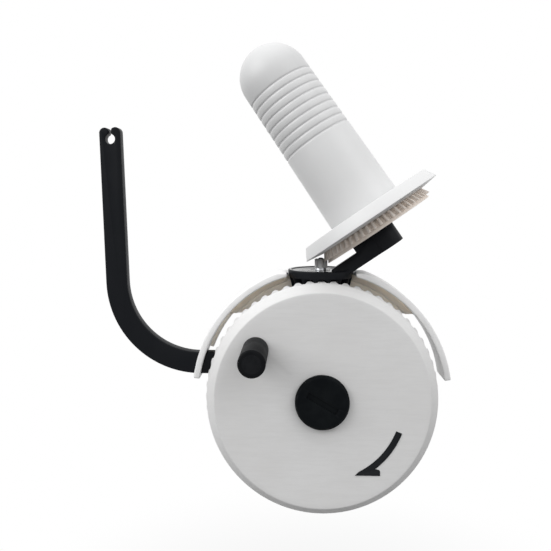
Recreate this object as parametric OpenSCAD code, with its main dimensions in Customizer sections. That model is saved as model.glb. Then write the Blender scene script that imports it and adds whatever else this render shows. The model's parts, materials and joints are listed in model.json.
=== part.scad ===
// Hand-cranked yarn ball winder that clamps to the edge of a table.
// X points right, Y points away from the person winding, Z points up.
// The origin is the middle of the clamp's seat, on the table top.

/* [Drive wheel] */
// Diameter of the drive wheel over its teeth
wheel_d = 160; // [150:1:175]
// Diameter of the flat front face
wheel_face_d = 145; // [130:1:147]
// Thickness of the wheel's front plate
wheel_plate = 3; // [2:0.5:4]
// How far the smooth rim lies inside the tooth ends
rim_inset = 1; // [0.8:0.2:2]
// Diameter of the wheel's hub
hub_d = 26; // [22:1:30]
// Length of the hub, from the front face
hub_len = 24; // [20:1:26]

/* [Bevel teeth] */
// Teeth on the drive wheel
wheel_teeth = 60; // [60:4:64]
// Teeth on the rotor
rotor_teeth = 15; // [15:1:16]
// Length of the wheel's teeth, from the rim inward
tooth_len = 10; // [8:0.5:12]
// Height of a tooth above the pitch line
tooth_add = 2; // [1.6:0.1:2.2]
// Depth of a gap below the pitch line
tooth_ded = 2.5; // [2.4:0.1:2.8]
// Slope of the tooth sides
tooth_slope = 25; // [20:1:26]
// Free play between meshing teeth, along the pitch line
tooth_play = 0.7; // [0.5:0.1:1]
// Depth of the pitch line behind the front face, at the rim
rim_depth = 10.25; // [9.5:0.25:11]

/* [Wheel axle] */
// Diameter of the axle stud
axle_d = 10; // [8:0.5:12]
// Wall of the bush in the hub
bush_wall = 2; // [1.5:0.25:3]
// Diameter of the slotted axle cap
cap_d = 36.6; // [32:0.5:42]
// Height of the axle cap in front of its washer
cap_h = 4; // [3:0.25:6]
// Thickness of the washer under the cap
washer_t = 0.8; // [0.5:0.1:1.5]
// Length of the coin slot
slot_len = 23; // [18:0.5:28]
// Width of the coin slot
slot_w = 4.2; // [3:0.2:5]
// Slope of the coin slot
slot_turn = -30; // [-60:5:60]

/* [Crank] */
// Sideways place of the knob from the axle
knob_x = -44.7; // [-50:0.1:-40]
// Height of the knob above the axle
knob_z = 34.7; // [28:0.1:40]
// Diameter of the knob
knob_d = 17.6; // [15:0.2:22]
// Length of the knob
knob_len = 41; // [28:1:46]
// Diameter of the pin that the knob turns on
pin_d = 7; // [6:0.5:8]

/* [Direction arrow] */
// Radius of the arrow's bow about the axle
arrow_r = 55.3; // [50:0.1:60]
// Stroke width of the bow
arrow_w = 4.3; // [3:0.1:6]
// Height of the arrow above the wheel's face
arrow_t = 0.4; // [0.3:0.1:0.8]
// Where the bow starts, in degrees below the level
arrow_from = 21.4; // [10:0.2:30]
// Where the bow meets the barb, in degrees below the level
arrow_to = 52.2; // [48:0.2:56]
// Where the tip lies, in degrees below the level
arrow_tip = 66; // [62:0.5:70]

/* [Guard] */
// Outer radius of the arched guard
guard_r = 90; // [89:0.5:98]
// Wall of the arch
guard_wall = 4.6; // [3.4:0.2:6]
// Depth of the arch's front edge behind the wheel's face
guard_front = 15; // [13:0.5:15.5]
// Half of the arch's sweep, in degrees from upright
guard_sweep = 83; // [75:0.5:84]
// Half of the back plate's sweep, in degrees from upright
plate_sweep = 50; // [46:1:51]
// Height of the back plate's level ends above the axle
plate_low = 53.5; // [50:0.5:56]
// How far the rim beside the left window reaches, in degrees from upright
rim_sweep = 70; // [60:1:74]
// Width of the rim beside the left window
rim_w = 2.8; // [2:0.2:4]
// Thickness of the guard's back plate
plate_t = 4; // [3:0.5:5]
// Inner radius of the guard's back plate
plate_r = 53; // [53:0.5:55]
// Inner radius of the raised ledge on the back plate
ledge_r = 80.5; // [76:0.5:82]
// Height of the ledge in front of the back plate
ledge_t = 2.5; // [1:0.5:4]
// Gap between the guard and the turning rotor
rotor_gap = 0.8; // [0.6:0.1:4]

/* [Rotor] */
// Height of the smooth band above the rotor's teeth
band_h = 5.3; // [4:0.1:7]
// Diameter of the upright post that the rotor turns on
post_d = 8; // [7:0.5:9]
// Wall of the rotor's bush
rotor_bush_wall = 2.5; // [2:0.25:3.5]
// Width of the rotor's arm
arm_w = 18; // [15:1:22]
// Thickness of the rotor's arm
arm_t = 9.4; // [8:0.1:11]
// Radius of the boss that carries the spool's axle
boss_r = 11; // [9.5:0.5:13]
// How far the raised part of the boss reaches down the arm
boss_reach = 21; // [18:1:24]
// Height of the raised part above the arm
boss_rise = 4.6; // [3.6:0.1:5.4]

/* [Spool] */
// Lean of the spool from upright
tilt = 34.3; // [33:0.1:36]
// How far the rotor's arm is turned at rest, seen from above
rotor_turn = -8.4; // [-30:0.2:30]
// Height of the point where spool and rotor axes cross, above the rotor's top
apex_rise = 87.5; // [85:0.1:94]
// Diameter of the core at its dome
core_top_d = 50.4; // [46:0.2:53]
// Diameter of the core at the flange
core_base_d = 53.6; // [53:0.2:58]
// Wall of the core
core_wall = 2.4; // [1.8:0.2:3]
// How far the dome's tip lies beyond the crossing point
core_tip = 84.6; // [75:0.1:92]
// Grip grooves round the core
groove_count = 9; // [5:1:10]
// Spacing of the grip grooves
groove_pitch = 5.8; // [4.5:0.1:6]
// Depth of a grip groove
groove_depth = 0.6; // [0.3:0.1:1]
// Diameter of the flange
flange_d = 109; // [100:1:116]
// Height of the flange's sloping edge
flange_h = 8.2; // [7:0.2:10]
// How far the flange's edge slopes in
flange_slope = 5; // [3:0.5:7]
// Diameter of the spool's axle
spool_axle_d = 8; // [7:0.5:9]

/* [Spool drive] */
// Lobes on the fixed pinion
sun_lobes = 5; // [5:1:5]
// Teeth on the spool's ring
ring_teeth = 57; // [56:1:58]
// Radius of a lobe
lobe_r = 1.05; // [0.9:0.05:1.1]
// Height of the mesh above the rotor's top
mesh_rise = 6; // [5.8:0.1:6.2]
// Height of the toothed ring
ring_h = 7.5; // [6.5:0.1:8]
// How far the ring reaches below the mesh
ring_below = 2.45; // [2.3:0.05:2.6]
// Height of the plain lip under the ring's teeth
lip_h = 2.3; // [1.5:0.1:2.3]

/* [Guide arm] */
// Width of the guide arm, seen from the front
guide_w = 15; // [12:0.5:17]
// Thickness of the guide arm
guide_t = 9; // [7:0.5:10]
// Depth of the guide arm's front face behind the wheel's face
guide_depth = 18; // [17.5:0.25:19]
// Sideways place of the arm's middle where the bend ends
guide_x = -144; // [-158:1:-136]
// Outward lean of the upright
guide_lean = 2.5; // [0:0.5:5]
// Height of the level stretch above the axle
guide_z = 21; // [20:0.5:22]
// Height of the upright's top above the axle
guide_top = 186.5; // [165:0.5:200]
// Bend radius at the middle of the arm
guide_bend = 59; // [45:1:65]
// Diameter of the yarn eye
eye_d = 7; // [5:0.5:9]
// Distance of the yarn eye below the top
eye_drop = 8.2; // [7.5:0.1:10]
// Width of the slit into the yarn eye
slit_w = 1.8; // [1:0.1:3]

/* [Frame] */
// Height of the axle above the table
axle_h = 25; // [22:1:32]
// Gap between the rotor's axis and the frame's head plate
head_gap = 9.75; // [8.75:0.25:14]
// Thickness of the head plate
head_t = 6; // [5:0.5:8]
// Half width of the head plate
head_half_w = 44; // [43:0.5:48]
// Thickness of the column
column_t = 10; // [8:0.5:14]
// Width of the column
column_w = 44; // [38:1:52]

/* [Clamp] */
// Length of the seat on the table
seat_len = 48; // [44:1:60]
// Width of the seat
seat_w = 48; // [40:1:60]
// Thickness of the seat
seat_t = 13; // [10:0.5:16]
// Thickness of the rubber pad under the seat
rubber_t = 2; // [1.5:0.25:3]
// Height of the clear mouth between seat and lower jaw
mouth_h = 42; // [38:1:52]
// Thickness of the lower jaw
jaw_t = 10; // [10:0.5:14]
// Diameter of the clamp screw
screw_d = 10; // [8:0.5:12]
// Distance of the pressure pad below the table top, at rest
pad_drop = 18; // [15:0.5:20]
// Diameter of the pressure pad
pad_d = 28; // [24:1:32]
// Thickness of the pressure pad
pad_t = 6; // [5:0.5:7]
// Diameter of the clamp knob
clamp_knob_d = 36; // [30:1:40]
// Height of the clamp knob
clamp_knob_h = 13; // [11:0.5:15]
// How far the pad rises from rest
pad_up = 8; // [5:0.5:12]

/* [Fits] */
// Radial clearance of a running fit
run_fit = 0.05; // [0.03:0.01:0.1]
// End clearance between turning parts
end_gap = 0.3; // [0.2:0.05:0.5]
// Side clearance of the guide arm in its socket
slide_gap = 0.15; // [0.1:0.05:0.3]

/* [Hidden] */
$fn = 96;
e = 0.01;
white = [0.93, 0.93, 0.92];
cream = [0.86, 0.84, 0.81];
black = [0.06, 0.065, 0.075];
steel = [0.72, 0.73, 0.75];
brass = [0.78, 0.66, 0.36];
rubber = [0.13, 0.13, 0.14];

// Wheel and rotor share one cone apex, on the axle's line below the rotor
wheel_r = wheel_d / 2;
wheel_face_r = wheel_face_d / 2;
gear_ratio = rotor_teeth / wheel_teeth;
rotor_cone = atan(gear_ratio);
rotor_depth = rim_depth + wheel_r * gear_ratio;
head_depth = rotor_depth + head_gap;
teeth_in_r = wheel_r - tooth_len;
tip_rise = tooth_add / cos(rotor_cone);
root_drop = tooth_ded / cos(rotor_cone);
mean_r = wheel_r - tooth_len / 2;
mean_pitch = 360 / wheel_teeth * PI / 180 * mean_r;
wheel_gap = mean_pitch / 2 + tooth_play / 4;
function pitch_depth(r) = rotor_depth - r * gear_ratio;

// Rotor heights, from the axle
rotor_low = teeth_in_r - 1;
band_low = wheel_r + 1;
rotor_top = band_low + band_h;
rotor_bore_r = post_d / 2 + run_fit + rotor_bush_wall;
function rotor_tip(h) = h * gear_ratio + tip_rise;
// The rotor's mean gear, unrolled from its back cone
back_r = mean_r * gear_ratio / cos(rotor_cone);
base_r = back_r * cos(tooth_slope);
rotor_tooth = mean_pitch / 2 - tooth_play * 3 / 4;
function involute(a) = tan(a) - a * PI / 180;
function half_angle(r) = rotor_tooth / back_r / 2 * 180 / PI
    + (involute(tooth_slope) - involute(acos(min(1, base_r / r)))) * 180 / PI;

// Post, collar and bracket under the rotor
collar_h = 2.5;
collar_r = post_d / 2 + 3.5;
bracket_top = rotor_low - end_gap - collar_h;
bracket_h = 26;
bracket_half_w = 13;
bracket_front = 16.5;
post_nut_h = 6.5;
post_nut_af = 13;

// Spool drive: a small fixed pinion meshes with the ring under the flange
apex_z = rotor_top + apex_rise;
sun_cone = atan(sin(tilt) / (ring_teeth / sun_lobes + cos(tilt)));
ring_cone = tilt - sun_cone;
mesh_z = rotor_top + mesh_rise;
sun_r = (apex_z - mesh_z) * tan(sun_cone);
mesh_s = -(apex_z - mesh_z) / cos(sun_cone) * cos(ring_cone);
ring_low = mesh_s - ring_below;
ring_top = ring_low + ring_h;
ring_add = 0.9;
ring_ded = 1.75;
ring_gap_tip = 3.1;
ring_gap_root = 1.9;
sun_low = rotor_top + 0.9;
sun_top = mesh_z + 1.1;
sun_core_r = 2.5;
sun_rib = 1.3;
sun_screw_d = 2;
sun_head_d = 4;
sun_head_h = 0.9;
sun_screw_in = 8;
function ring_pitch_r(s) = -s * tan(ring_cone);
function ring_tip_r(s) = ring_pitch_r(s) + ring_add / cos(ring_cone);
function ring_root_r(s) = ring_pitch_r(s) - ring_ded / cos(ring_cone);

// Stations along the spool's axis, from the crossing point
rim_s = ring_top + 1.8;
flange_top = rim_s + flange_h + 0.6;
hub_low = ring_low - 0.2;
thrust_t = 1.2;
washer_low = hub_low - thrust_t - 0.1;
washer_fit = 0.2;
boss_top = ring_low - 0.4;
arm_top = boss_top - boss_rise;
arm_low = arm_top - arm_t;
arm_from = 8.6;
arm_len = 58;
spool_bush_wall = 2;
spool_bore_r = spool_axle_d / 2 + run_fit + spool_bush_wall;
spool_hub_r = spool_bore_r + 3;
spool_hub_h = 60;
spool_hub_top = rim_s + spool_hub_h;
retainer_t = 1.2;
retainer_rim = 3;
retainer_s = spool_hub_top + end_gap;
axle_over = 3;
spool_axle_top = retainer_s + retainer_t + axle_over;
spool_axle_low = arm_low + axle_over;
spigot_gap = 0.1;
spigot_h = 8;
core_top_r = core_top_d / 2;
core_base_r = core_base_d / 2;
dome_s = core_tip - core_top_r;
groove_from = 4.2;
groove_w = 2.4;
function core_r(s) = core_base_r
    + (core_top_r - core_base_r) * (s - flange_top) / (dome_s - flange_top);

// The guard keeps clear of the rotor and of the cone that its arm sweeps
rotor_clear = rotor_tip(rotor_top) + rotor_gap;
sweep_gap = 1.2;
sweep_low = apex_z + arm_low / cos(tilt)
    + sqrt(rotor_clear * rotor_clear - arm_w * arm_w / 4) * tan(tilt) - sweep_gap;

// Axle line, from front to back
cap_low = -washer_t - cap_h;
hub_gap = end_gap + 0.2;
axle_boss_r = 16;
axle_end = head_depth + column_t - 2;
cap_screw_d = 6;

// Crank knob
knob_gap = end_gap;
knob_tip = -knob_gap - knob_len;
pin_head_d = pin_d + 4;
pin_head_h = 3;
end_cap_h = 4.5;

// Guide arm and its socket
guide_back = guide_depth + guide_t;
guide_in = -23;
socket_wall = 1.8;
socket_from = -66;
socket_to = -20;
socket_h = guide_w + 9;
bend_x = guide_x + guide_bend;
bend_z = guide_z + guide_bend;
upright_len = (guide_top - bend_z + guide_bend * sin(guide_lean)) / cos(guide_lean);

// Guard screws through the back plate into the head plate
guard_in_r = guard_r - guard_wall;
guard_back = head_depth;
guard_screw_r = plate_r + 5;
guard_screw_turns = [26, 42];
guard_screw_d = 3.4;
guard_screw_head_d = 6.4;
guard_screw_head_h = 2;
guard_screw_len = 8;
window_gap = 0.4;

// Clamp heights below the table top, and its place behind the wheel
seat_front = head_depth + column_t;
clamp_depth = seat_front + seat_len / 2 - 1;
jaw_top = -mouth_h;
jaw_low = jaw_top - jaw_t;
jaw_reach = seat_len - 10;
jaw_w = 34;
nut_h = 7;
nut_af = 17;
pad_low = -pad_drop - pad_t;
screw_tip = pad_low + pad_t - 2;
clamp_knob_top = jaw_low - pad_up - 1;
screw_end = clamp_knob_top - clamp_knob_h + 3;
grip_count = 6;

// Places

// Puts a shape measured from the wheel's front face and axle into the object's frame
module machine() {
    translate([0, -clamp_depth, axle_h]) children();
}

// A plate drawn as seen from the front, from one depth to another
module plate(from, to) {
    translate([0, to, 0]) rotate([90, 0, 0]) linear_extrude(to - from) children();
}

// A turned shape about the wheel's axle, drawn as radius and depth
module turned() {
    rotate([-90, 0, 0]) rotate_extrude() children();
}

// A round bar along the depth
module bar(d, from, to) {
    translate([0, from, 0]) rotate([-90, 0, 0]) cylinder(d = d, h = to - from);
}

module on_rotor() {
    machine() translate([0, rotor_depth, 0]) children();
}

module on_spool() {
    on_rotor() rotate([0, 0, rotor_turn]) translate([0, 0, apex_z]) rotate([0, -tilt, 0]) children();
}

// A hexagon of the given width across its flats
module hexagon(af) {
    circle(d = af / cos(30), $fn = 6);
}

// A wedge open upwards, as seen from the front
module wedge(sweep) {
    reach = 2 * guard_r;
    polygon([
        [0, 0], [-reach * sin(sweep), reach * cos(sweep)], [-reach, reach * 1.2],
        [reach, reach * 1.2], [reach * sin(sweep), reach * cos(sweep)]
    ]);
}

// Drive wheel

module wheel_blank() {
    rim_r = wheel_r - rim_inset;
    bore_r = axle_d / 2 + run_fit + bush_wall;
    lip = 0.4;
    tip_out = pitch_depth(wheel_r) + tip_rise;
    tip_in = pitch_depth(teeth_in_r) + tip_rise;
    inner_r = teeth_in_r - 2;
    turned() polygon([
        [bore_r, 0], [wheel_face_r, 0], [wheel_face_r + 1, 0.4], [rim_r - 0.4, rim_depth - 4.6],
        [rim_r, rim_depth - 3.6], [rim_r, pitch_depth(rim_r) - root_drop + lip], [wheel_r, tip_out],
        [teeth_in_r, tip_in], [inner_r, tip_in], [inner_r, wheel_plate],
        [hub_d / 2, wheel_plate], [hub_d / 2, hub_len], [bore_r, hub_len]
    ]);
}

// One gap between the wheel's teeth, straight along the pitch cone
module wheel_gap_cut() {
    half = wheel_gap / 2;
    over = tooth_add + 1;
    rise = tan(tooth_slope);
    length = tooth_len + 8;
    translate([0, pitch_depth(wheel_r + 3), wheel_r + 3])
        rotate([180 + rotor_cone, 0, 0])
            linear_extrude(length)
                polygon([
                    [-half + tooth_ded * rise, tooth_ded], [half - tooth_ded * rise, tooth_ded],
                    [half + over * rise, -over], [-half - over * rise, -over]
                ]);
}

module drive_wheel() {
    color(white) machine() difference() {
        wheel_blank();
        for (i = [0 : wheel_teeth - 1])
            rotate([0, (i + 0.5) * 360 / wheel_teeth, 0]) wheel_gap_cut();
        translate([knob_x, 0, knob_z]) bar(pin_d, -1, wheel_plate + 1);
    }
}

module axle_bush() {
    color(brass) machine() difference() {
        bar(axle_d + 2 * run_fit + 2 * bush_wall, 0, hub_len);
        bar(axle_d + 2 * run_fit, -1, hub_len + 1);
    }
}

// A direction in the wheel's face, in degrees below the level
function ray(a) = [cos(a), -sin(a)];

// The plain turning arrow on the wheel's face
module direction_arrow() {
    inner = arrow_r - arrow_w / 2;
    outer = arrow_r + arrow_w / 2;
    tip = (inner + 1.2) * ray(arrow_tip);
    barb = 16.7;
    color(black) machine() plate(-arrow_t, 0) difference() {
        union() {
            intersection() {
                circle(r = outer);
                polygon([[0, 0], 2 * outer * ray(arrow_from), 2 * outer * ray(arrow_to + 2)]);
            }
            polygon([
                tip, tip + [barb, 0], tip + [barb, 3.2], tip + [barb - 0.6, 4], (outer - 0.5) * ray(arrow_to),
                (inner - 1) * ray(arrow_to - 2), (inner - 1) * ray((arrow_to + arrow_tip) / 2)
            ]);
        }
        circle(r = inner);
    }
}

// Crank

module at_knob() {
    machine() translate([knob_x, 0, knob_z]) children();
}

// Riveted behind the plate, with a head inside the knob's tip
module crank_pin() {
    color(steel) at_knob() {
        bar(pin_d, knob_tip + end_cap_h + pin_head_h, wheel_plate);
        bar(pin_head_d, knob_tip + end_cap_h, knob_tip + end_cap_h + pin_head_h + e);
        bar(pin_d + 5, wheel_plate, wheel_plate + 1.5);
    }
}

module crank_knob() {
    r = knob_d / 2;
    bore = pin_d / 2 + run_fit;
    head = pin_head_d / 2 + 0.4;
    head_low = knob_tip + end_cap_h + pin_head_h + end_gap;
    chamfer = 0.8;
    color(black) at_knob() turned() polygon([
        [head, knob_tip], [r - chamfer, knob_tip], [r, knob_tip + chamfer], [r, -knob_gap - chamfer],
        [r - chamfer, -knob_gap], [bore, -knob_gap], [bore, head_low], [head, head_low]
    ]);
}

module knob_end_cap() {
    head = pin_head_d / 2 + 0.4;
    color(black) at_knob() turned() polygon([
        [0, knob_tip], [head, knob_tip], [head, knob_tip + end_cap_h - end_gap],
        [0, knob_tip + end_cap_h - end_gap]
    ]);
}

// Wheel axle

module axle_stud() {
    color(steel) machine() difference() {
        bar(axle_d, -washer_t, axle_end);
        bar(cap_screw_d, -washer_t - 1, 14);
    }
}

module axle_washer() {
    color(steel) machine() difference() {
        bar(cap_d - 8, -washer_t, -0.2);
        bar(axle_d + 2 * run_fit, -washer_t - 1, 1);
    }
}

// The slotted cap is the head of the screw that ends the axle
module axle_cap() {
    r = cap_d / 2;
    chamfer = 1.4;
    slot_depth = 1.4;
    color(black) machine() difference() {
        turned() polygon([
            [0, cap_low], [r - chamfer, cap_low], [r, cap_low + chamfer], [r, -washer_t],
            [cap_screw_d / 2, -washer_t], [cap_screw_d / 2, 12], [0, 12]
        ]);
        rotate([0, -slot_turn, 0])
            translate([-slot_len / 2, cap_low - 1, -slot_w / 2]) cube([slot_len, slot_depth + 1, slot_w]);
    }
}

// Rotor and its post

// One gap between the rotor's teeth, at the rotor's front
module rotor_gap_cut() {
    from = rotor_low - 3;
    step = mean_pitch / back_r / 2 * 180 / PI;
    radii = [
        back_r - tooth_ded, base_r, back_r, back_r + tooth_add / 2,
        back_r + tooth_add, back_r + tooth_add + 1
    ];
    last = len(radii) - 1;
    right = [for (r = radii) let (a = step - half_angle(r)) [r * sin(a), back_r - r * cos(a)]];
    left = [for (i = [last : -1 : 0]) [-right[i][0], right[i][1]]];
    translate([0, -from * gear_ratio, from])
        rotate([rotor_cone, 0, 0])
            linear_extrude((band_low - from) / cos(rotor_cone))
                polygon(concat(right, left));
}

module rotor_blank() {
    edge = 0.8;
    rim = rotor_tip(rotor_top);
    dish = 0.7;
    rotate_extrude() polygon([
        [rotor_bore_r, rotor_low], [rotor_tip(rotor_low), rotor_low],
        [rim - edge * gear_ratio, rotor_top - edge], [rim - edge, rotor_top], [rim - 2.6, rotor_top],
        [rim - 3.4, rotor_top - dish], [rotor_bore_r, rotor_top - dish]
    ]);
}

// The sloping arm and the boss under the spool
module rotor_arm() {
    intersection() {
        on_spool() union() {
            translate([-arm_len, -arm_w / 2, arm_low]) cube([arm_len, arm_w, arm_t]);
            translate([-boss_reach, -arm_w / 2, arm_low]) cube([boss_reach, arm_w, arm_t + boss_rise]);
            translate([0, 0, arm_low]) cylinder(r = boss_r, h = boss_top - arm_low);
        }
        on_rotor() rotate([0, 0, rotor_turn])
            translate([arm_from, -arm_w, band_low + 1]) cube([flange_d, 2 * arm_w, flange_d]);
    }
}

module rotor() {
    color(black) difference() {
        union() {
            on_rotor() difference() {
                rotor_blank();
                for (i = [0 : rotor_teeth - 1]) rotate([0, 0, i * 360 / rotor_teeth]) rotor_gap_cut();
            }
            rotor_arm();
        }
        on_spool() {
            translate([0, 0, spool_axle_low])
                cylinder(d = spool_axle_d, h = boss_top - spool_axle_low + 1);
            translate([0, 0, washer_low])
                cylinder(r = spool_hub_r + washer_fit, h = boss_top - washer_low + 1);
        }
    }
}

module rotor_bush() {
    h = rotor_top - 0.7 - rotor_low;
    color(brass) on_rotor() translate([0, 0, rotor_low]) difference() {
        cylinder(r = rotor_bore_r, h = h);
        translate([0, 0, -1]) cylinder(d = post_d + 2 * run_fit, h = h + 2);
    }
}

module rotor_post() {
    low = bracket_top - bracket_h - post_nut_h - 1;
    color(steel) on_rotor() difference() {
        union() {
            translate([0, 0, low]) cylinder(d = post_d, h = sun_low - low);
            translate([0, 0, bracket_top]) cylinder(r = collar_r, h = collar_h);
        }
        translate([0, 0, sun_low - sun_screw_in]) cylinder(d = sun_screw_d, h = sun_screw_in + 1);
    }
}

module post_nut() {
    low = bracket_top - bracket_h - post_nut_h;
    color(steel) on_rotor() translate([0, 0, low]) difference() {
        linear_extrude(post_nut_h) hexagon(post_nut_af);
        translate([0, 0, -1]) cylinder(d = post_d, h = post_nut_h + 2);
    }
}

// The fixed pinion: round-ended lobes, one of them pointing at the spool's ring
module sun_pinion() {
    h = sun_top - sun_low;
    color(white) on_rotor() translate([0, 0, sun_low]) rotate([0, 0, rotor_turn]) difference() {
        union() {
            cylinder(r = sun_core_r, h = h);
            for (i = [0 : sun_lobes - 1]) rotate([0, 0, i * 360 / sun_lobes]) {
                translate([sun_r, 0, 0]) cylinder(r = lobe_r, h = h);
                translate([sun_core_r / 2, -sun_rib / 2, 0]) cube([sun_r - sun_core_r / 2, sun_rib, h]);
            }
        }
        translate([0, 0, -1]) cylinder(d = sun_screw_d, h = h + 2);
    }
}

module sun_screw() {
    color(steel) on_rotor() {
        translate([0, 0, sun_low - sun_screw_in])
            cylinder(d = sun_screw_d, h = sun_top - sun_low + sun_screw_in);
        translate([0, 0, sun_top]) cylinder(d1 = sun_head_d, d2 = sun_head_d - 1.2, h = sun_head_h);
    }
}

// Spool

module spool_axle() {
    color(steel) on_spool() translate([0, 0, spool_axle_low])
        cylinder(d = spool_axle_d, h = spool_axle_top - spool_axle_low);
}

// Lies in a recess of the boss
module thrust_washer() {
    color(brass) on_spool() translate([0, 0, washer_low]) difference() {
        cylinder(r = spool_hub_r, h = thrust_t);
        translate([0, 0, -1]) cylinder(d = spool_axle_d, h = thrust_t + 2);
    }
}

module axle_retainer() {
    color(steel) on_spool() translate([0, 0, retainer_s]) difference() {
        cylinder(d = spool_axle_d + 2 * retainer_rim, h = retainer_t);
        translate([0, 0, -1]) cylinder(d = spool_axle_d, h = retainer_t + 2);
    }
}

// Two bushes, one at each end of the flange's hub
module spool_bush() {
    length = 14;
    color(brass) on_spool() for (s = [hub_low, spool_hub_top - length]) translate([0, 0, s]) difference() {
        cylinder(r = spool_bore_r, h = length);
        translate([0, 0, -1]) cylinder(d = spool_axle_d + 2 * run_fit, h = length + 2);
    }
}

// The domed core: a hollow tube with grip grooves, pushed over the flange's spigot
module spool_core() {
    steps = 14;
    inner_r = core_top_r - core_wall;
    grooves = [for (i = [0 : groove_count - 1]) let (s = groove_from + i * groove_pitch) each [
        [core_r(s - groove_w / 2), s - groove_w / 2], [core_r(s) - groove_depth, s - groove_w / 6],
        [core_r(s) - groove_depth, s + groove_w / 6], [core_r(s + groove_w / 2), s + groove_w / 2]
    ]];
    turns = [for (i = [0 : steps]) i * 90 / steps];
    back = [for (i = [steps : -1 : 0]) turns[i]];
    dome = [for (a = turns) [core_top_r * cos(a), dome_s + core_top_r * sin(a)]];
    inside = [for (a = back) [inner_r * cos(a), dome_s + inner_r * sin(a)]];
    color(white) on_spool() rotate_extrude() polygon(concat(
        [[core_base_r, flange_top]], grooves, dome, inside, [[core_base_r - core_wall, flange_top]]
    ));
}

// The dished flange, with the hub that turns on the axle
module spool_flange() {
    r = flange_d / 2;
    skin = 2.4;
    under_r = ring_tip_r(ring_top) + 1;
    cavity_r = under_r - 3.5;
    spigot_r = core_base_r - core_wall - spigot_gap;
    color(white) on_spool() rotate_extrude() polygon([
        [spool_bore_r, hub_low], [spool_hub_r, hub_low], [spool_hub_r, flange_top - skin],
        [cavity_r, flange_top - skin], [cavity_r, ring_top], [under_r, ring_top],
        [r - 0.6, rim_s], [r, rim_s + 0.4], [r - flange_slope + 0.4, rim_s + flange_h - 0.8],
        [r - flange_slope - 0.8, rim_s + flange_h], [core_base_r, flange_top], [spigot_r, flange_top],
        [spigot_r, flange_top + spigot_h], [spigot_r - 2, flange_top + spigot_h],
        [spigot_r - 2, flange_top],
        [spool_hub_r, flange_top], [spool_hub_r, spool_hub_top], [spool_bore_r, spool_hub_top]
    ]);
}

// One gap between the ring's teeth, straight along its pitch cone
module ring_gap_cut() {
    from = ring_low - 2;
    over = ring_add + 1;
    flare = (ring_gap_tip - ring_gap_root) / 2 / (ring_add + ring_ded);
    wide = ring_gap_tip / 2 + flare;
    narrow = ring_gap_root / 2;
    translate([ring_pitch_r(from), 0, from])
        rotate([0, -ring_cone, 0])
            linear_extrude((ring_h + 4) / cos(ring_cone))
                polygon([[-ring_ded, -narrow], [over, -wide], [over, wide], [-ring_ded, narrow]]);
}

// The toothed ring, with a plain lip that keeps inside the roots of its teeth
module spool_gear() {
    teeth_low = ring_low + lip_h;
    lip_in = 0.1;
    web = 2.4;
    wall = 6;
    color(cream) on_spool() difference() {
        rotate_extrude() polygon([
            [spool_hub_r, ring_top - web], [ring_tip_r(ring_top) - wall, ring_top - web],
            [ring_tip_r(ring_low) - wall, ring_low], [ring_root_r(ring_low) - lip_in, ring_low],
            [ring_root_r(teeth_low) - lip_in, teeth_low], [ring_tip_r(teeth_low), teeth_low],
            [ring_tip_r(ring_top), ring_top], [spool_hub_r, ring_top]
        ]);
        for (i = [0 : ring_teeth - 1]) rotate([0, 0, 180 + i * 360 / ring_teeth]) ring_gap_cut();
    }
}

// Frame and guard

module at_guard_screws() {
    for (side = [-1, 1], turn = guard_screw_turns)
        translate([side * guard_screw_r * sin(turn), 0, guard_screw_r * cos(turn)]) children();
}

module head_plate() {
    top = guard_screw_r * cos(guard_screw_turns[0]) + 6;
    plate(head_depth, head_depth + head_t) circle(r = head_half_w);
    translate([-head_half_w, head_depth, 0]) cube([2 * head_half_w, head_t, top]);
}

// Upright ribs that stiffen the seat against the column
module gussets() {
    rib = 5;
    reach = 26;
    low = 1 + seat_t - axle_h - e;
    for (side = [-1, 1])
        translate([side * column_w / 3 - rib / 2, seat_front - e, low])
            rotate([90, 0, 90]) linear_extrude(rib) polygon([[0, 0], [reach, 0], [0, reach]]);
}

module frame_body() {
    socket_front = guide_depth - socket_wall;
    head_plate();
    translate([-column_w / 2, head_depth, jaw_low - axle_h])
        cube([column_w, column_t, axle_h - jaw_low + 30]);
    bar(2 * axle_boss_r, hub_len + hub_gap, head_depth + e);
    translate([-bracket_half_w, bracket_front, bracket_top - bracket_h])
        cube([2 * bracket_half_w, head_depth + head_t - bracket_front, bracket_h]);
    translate([socket_from, socket_front, guide_z - socket_h / 2])
        cube([socket_to - socket_from, head_depth - socket_front + e, socket_h]);
    translate([-seat_w / 2, head_depth, 1 - axle_h]) cube([seat_w, column_t + seat_len, seat_t]);
    translate([-jaw_w / 2, head_depth, jaw_low - axle_h]) cube([jaw_w, column_t + jaw_reach, jaw_t]);
    gussets();
}

// Space for the guide arm in its socket
module socket_pocket() {
    g = slide_gap;
    translate([socket_from - 1, guide_depth - g, guide_z - guide_w / 2 - g])
        cube([guide_in + 1 - socket_from, guide_t + 2 * g, guide_w + 2 * g]);
}

module rubber_shape(h) {
    w = seat_w - 8;
    l = seat_len - 6;
    translate([-w / 2, seat_front + 3 - clamp_depth, 0]) cube([w, l, h]);
}

module main_frame() {
    color(white) difference() {
        machine() difference() {
            frame_body();
            socket_pocket();
            bar(axle_d, hub_len, axle_end);
            at_guard_screws() bar(guard_screw_d, head_depth - 1, guard_back - plate_t + guard_screw_len);
            translate([0, rotor_depth, bracket_top - bracket_h - 1])
                cylinder(d = post_d, h = bracket_h + 2);
        }
        rubber_shape(rubber_t);
        translate([0, 0, jaw_low - 1]) cylinder(d = screw_d + 2 * run_fit, h = jaw_t + 2);
        translate([0, 0, jaw_low - 1]) linear_extrude(nut_h + 1) hexagon(nut_af);
    }
}

module table_pad() {
    color(rubber) rubber_shape(rubber_t);
}

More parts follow.
